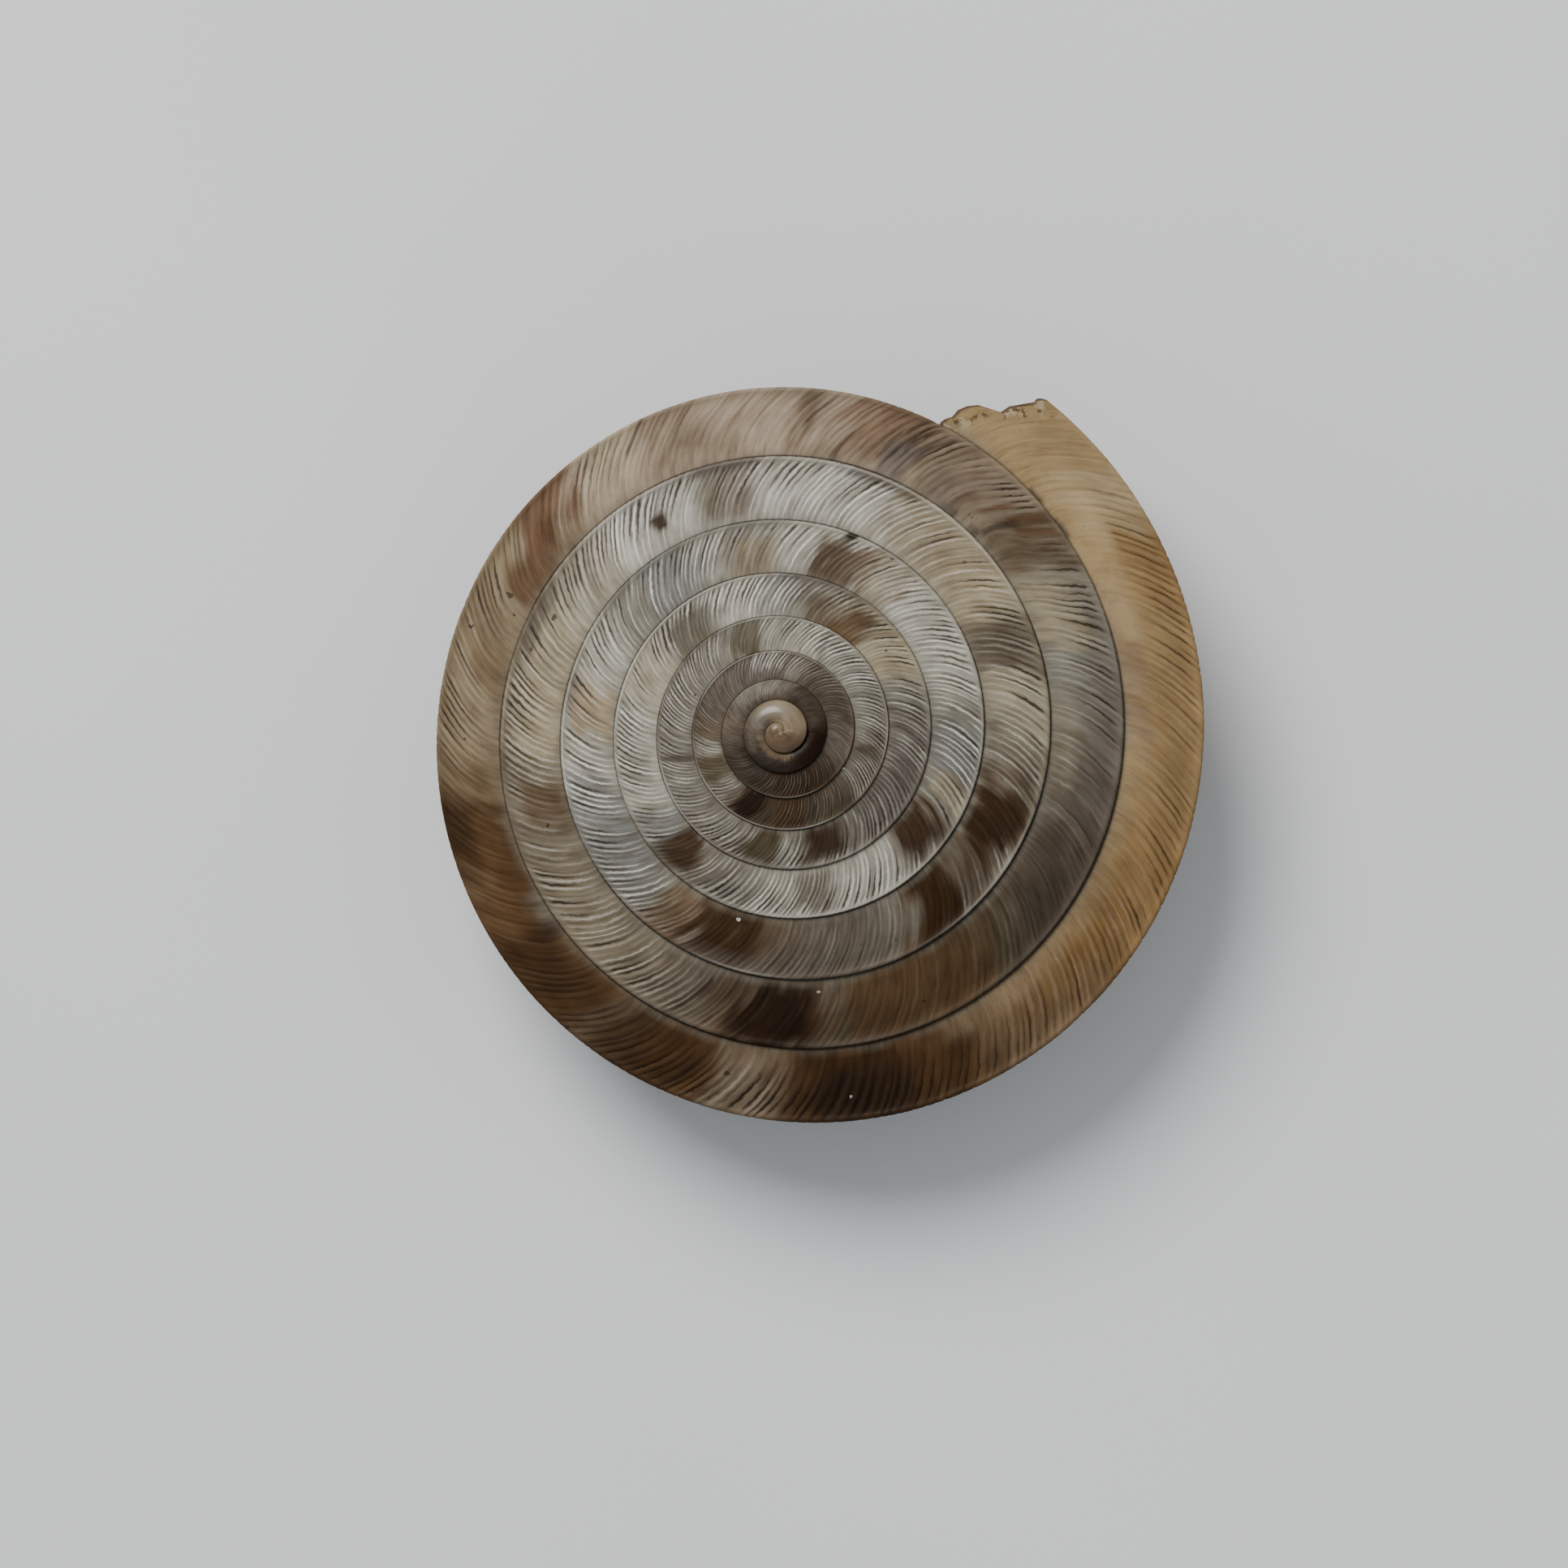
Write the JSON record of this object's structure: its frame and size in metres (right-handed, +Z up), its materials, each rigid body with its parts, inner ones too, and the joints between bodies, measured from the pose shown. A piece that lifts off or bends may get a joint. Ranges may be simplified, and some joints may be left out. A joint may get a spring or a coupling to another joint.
{
  "type": "land snail shell",
  "caption": "Left-coiled land snail shell, Laeocathaica pewzowi: nine low whorls, blunt keel, wide umbilicus and a broken lip.",
  "frame": {"origin": "centre of the bounding box seen from above, at the level the shell rests on", "axes": "+Z up through the apex as the shell rests on its base, +X along its greatest width, which is to the right in the picture"},
  "size_m": [0.02, 0.0192, 0.0071],
  "materials": {
    "shell": "satin"
  },
  "bodies": {
    "root": {"shell": "shell"}
  },
  "joints": []
}
